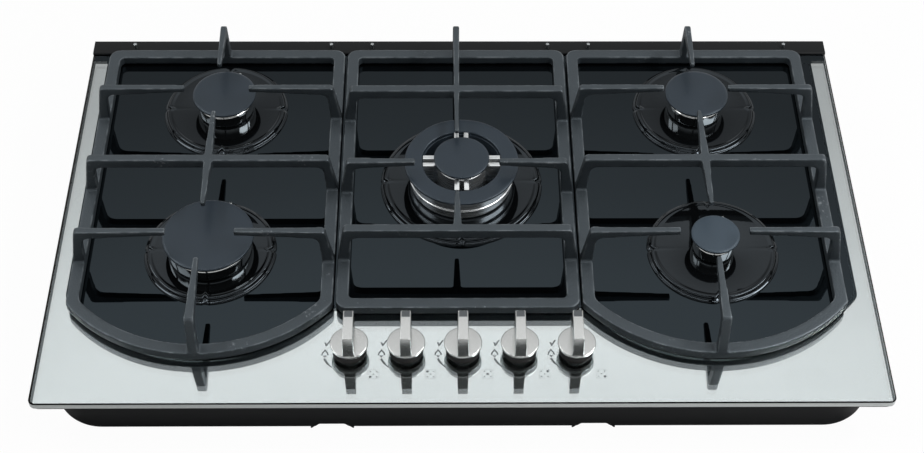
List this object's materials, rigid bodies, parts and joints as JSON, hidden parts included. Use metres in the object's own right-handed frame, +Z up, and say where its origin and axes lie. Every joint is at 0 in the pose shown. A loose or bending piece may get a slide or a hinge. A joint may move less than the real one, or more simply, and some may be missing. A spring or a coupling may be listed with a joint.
{
  "type": "gas cooktop",
  "caption": "Built-in gas hob with a glass top on a steel tray, cast pan supports, side burners, a central ring burner and push-and-turn knobs along the front.",
  "frame": {"origin": "middle of the tray's underside, below the middle of the glass", "axes": "+X to the right, +Y to the back, +Z up; the knobs are along the front, at -Y"},
  "size_m": [0.86, 0.51, 0.119],
  "materials": {
    "glass": "polished black and silver print under clear glass",
    "black_steel": "black powder coat",
    "seal_foam": "matt foam",
    "zinc_steel": "bright zinc",
    "cast_iron": "matt enamel",
    "gloss_enamel": "glossy enamel",
    "satin_enamel": "satin enamel",
    "aluminium": "turned",
    "satin_metal": "satin anodised",
    "rubber": "matt",
    "brass": "turned",
    "moulding": "moulded"
  },
  "bodies": {
    "hob": {"glass_top": "glass", "base_tray": "black_steel", "rear_trim": "black_steel", "foam_seal": "seal_foam", "clamp_front_left": "zinc_steel", "clamp_front_right": "zinc_steel", "clamp_rear_left": "zinc_steel", "clamp_rear_right": "zinc_steel", "gas_rail": "aluminium", "spark_box": "moulding", "mains_gland": "rubber", "trim_disc_front_left": "gloss_enamel", "burner_cup_front_left": "aluminium", "feed_pipe_front_left": "aluminium", "knob_collar_front_left": "rubber", "gas_tap_front_left": "brass", "trim_disc_rear_left": "gloss_enamel", "burner_cup_rear_left": "aluminium", "feed_pipe_rear_left": "aluminium", "knob_collar_rear_left": "rubber", "gas_tap_rear_left": "brass", "trim_disc_wok": "gloss_enamel", "burner_cup_wok": "aluminium", "feed_pipe_wok": "aluminium", "knob_collar_wok": "rubber", "gas_tap_wok": "brass", "trim_disc_rear_right": "gloss_enamel", "burner_cup_rear_right": "aluminium", "feed_pipe_rear_right": "aluminium", "knob_collar_rear_right": "rubber", "gas_tap_rear_right": "brass", "trim_disc_front_right": "gloss_enamel", "burner_cup_front_right": "aluminium", "feed_pipe_front_right": "aluminium", "knob_collar_front_right": "rubber", "gas_tap_front_right": "brass"},
    "spindle_front_left": {"tap_spindle_front_left": "zinc_steel"},
    "knob_front_left": {"knob_front_left": "satin_metal"},
    "spindle_rear_left": {"tap_spindle_rear_left": "zinc_steel"},
    "knob_rear_left": {"knob_rear_left": "satin_metal"},
    "spindle_wok": {"tap_spindle_wok": "zinc_steel"},
    "knob_wok": {"knob_wok": "satin_metal"},
    "spindle_rear_right": {"tap_spindle_rear_right": "zinc_steel"},
    "knob_rear_right": {"knob_rear_right": "satin_metal"},
    "spindle_front_right": {"tap_spindle_front_right": "zinc_steel"},
    "knob_front_right": {"knob_front_right": "satin_metal"},
    "pan_support_left": {"pan_support_left": "cast_iron"},
    "pan_support_centre": {"pan_support_centre": "cast_iron"},
    "pan_support_right": {"pan_support_right": "cast_iron"},
    "crown_front_left": {"crown_front_left": "gloss_enamel"},
    "cap_front_left": {"cap_front_left": "satin_enamel"},
    "crown_rear_left": {"crown_rear_left": "gloss_enamel"},
    "cap_rear_left": {"cap_rear_left": "satin_enamel"},
    "crown_wok": {"crown_wok": "aluminium"},
    "cap_wok_ring": {"cap_wok_ring": "satin_enamel"},
    "cap_wok_centre": {"cap_wok_centre": "satin_enamel"},
    "crown_rear_right": {"crown_rear_right": "gloss_enamel"},
    "cap_rear_right": {"cap_rear_right": "satin_enamel"},
    "crown_front_right": {"crown_front_right": "gloss_enamel"},
    "cap_front_right": {"cap_front_right": "satin_enamel"}
  },
  "joints": [
    {"name": "turn_front_left", "type": "hinge", "parent": "hob", "child": "spindle_front_left", "pos_m": [-0.1146, -0.1905, 0.06], "axis": [0, 0, 1], "range_deg": [0, 130]},
    {"name": "push_front_left", "type": "slide", "parent": "spindle_front_left", "child": "knob_front_left", "axis": [0, 0, -1], "range_m": [0, 0.003], "stiffness_N_per_m": 1500, "springref_m": -0.004},
    {"name": "turn_rear_left", "type": "hinge", "parent": "hob", "child": "spindle_rear_left", "pos_m": [-0.0573, -0.1905, 0.06], "axis": [0, 0, 1], "range_deg": [0, 130]},
    {"name": "push_rear_left", "type": "slide", "parent": "spindle_rear_left", "child": "knob_rear_left", "axis": [0, 0, -1], "range_m": [0, 0.003], "stiffness_N_per_m": 1500, "springref_m": -0.004},
    {"name": "turn_wok", "type": "hinge", "parent": "hob", "child": "spindle_wok", "pos_m": [0, -0.1905, 0.06], "axis": [0, 0, 1], "range_deg": [0, 130]},
    {"name": "push_wok", "type": "slide", "parent": "spindle_wok", "child": "knob_wok", "axis": [0, 0, -1], "range_m": [0, 0.003], "stiffness_N_per_m": 1500, "springref_m": -0.004},
    {"name": "turn_rear_right", "type": "hinge", "parent": "hob", "child": "spindle_rear_right", "pos_m": [0.0573, -0.1905, 0.06], "axis": [0, 0, 1], "range_deg": [0, 130]},
    {"name": "push_rear_right", "type": "slide", "parent": "spindle_rear_right", "child": "knob_rear_right", "axis": [0, 0, -1], "range_m": [0, 0.003], "stiffness_N_per_m": 1500, "springref_m": -0.004},
    {"name": "turn_front_right", "type": "hinge", "parent": "hob", "child": "spindle_front_right", "pos_m": [0.1146, -0.1905, 0.06], "axis": [0, 0, 1], "range_deg": [0, 130]},
    {"name": "push_front_right", "type": "slide", "parent": "spindle_front_right", "child": "knob_front_right", "axis": [0, 0, -1], "range_m": [0, 0.003], "stiffness_N_per_m": 1500, "springref_m": -0.004},
    {"name": "lift_pan_support_left", "type": "slide", "parent": "hob", "child": "pan_support_left", "axis": [0, 0, 1], "range_m": [0, 0.08]},
    {"name": "lift_pan_support_centre", "type": "slide", "parent": "hob", "child": "pan_support_centre", "axis": [0, 0, 1], "range_m": [0, 0.08]},
    {"name": "lift_pan_support_right", "type": "slide", "parent": "hob", "child": "pan_support_right", "axis": [0, 0, 1], "range_m": [0, 0.08]},
    {"name": "lift_crown_front_left", "type": "slide", "parent": "hob", "child": "crown_front_left", "axis": [0, 0, 1], "range_m": [0, 0.008]},
    {"name": "lift_cap_front_left", "type": "slide", "parent": "crown_front_left", "child": "cap_front_left", "axis": [0, 0, 1], "range_m": [0, 0.007]},
    {"name": "lift_crown_rear_left", "type": "slide", "parent": "hob", "child": "crown_rear_left", "axis": [0, 0, 1], "range_m": [0, 0.008]},
    {"name": "lift_cap_rear_left", "type": "slide", "parent": "crown_rear_left", "child": "cap_rear_left", "axis": [0, 0, 1], "range_m": [0, 0.007]},
    {"name": "lift_crown_wok", "type": "slide", "parent": "hob", "child": "crown_wok", "axis": [0, 0, 1], "range_m": [0, 0.006]},
    {"name": "lift_cap_wok_ring", "type": "slide", "parent": "crown_wok", "child": "cap_wok_ring", "axis": [0, 0, 1], "range_m": [0, 0.005]},
    {"name": "lift_cap_wok_centre", "type": "slide", "parent": "crown_wok", "child": "cap_wok_centre", "axis": [0, 0, 1], "range_m": [0, 0.0035]},
    {"name": "lift_crown_rear_right", "type": "slide", "parent": "hob", "child": "crown_rear_right", "axis": [0, 0, 1], "range_m": [0, 0.008]},
    {"name": "lift_cap_rear_right", "type": "slide", "parent": "crown_rear_right", "child": "cap_rear_right", "axis": [0, 0, 1], "range_m": [0, 0.007]},
    {"name": "lift_crown_front_right", "type": "slide", "parent": "hob", "child": "crown_front_right", "axis": [0, 0, 1], "range_m": [0, 0.008]},
    {"name": "lift_cap_front_right", "type": "slide", "parent": "crown_front_right", "child": "cap_front_right", "axis": [0, 0, 1], "range_m": [0, 0.007]}
  ]
}
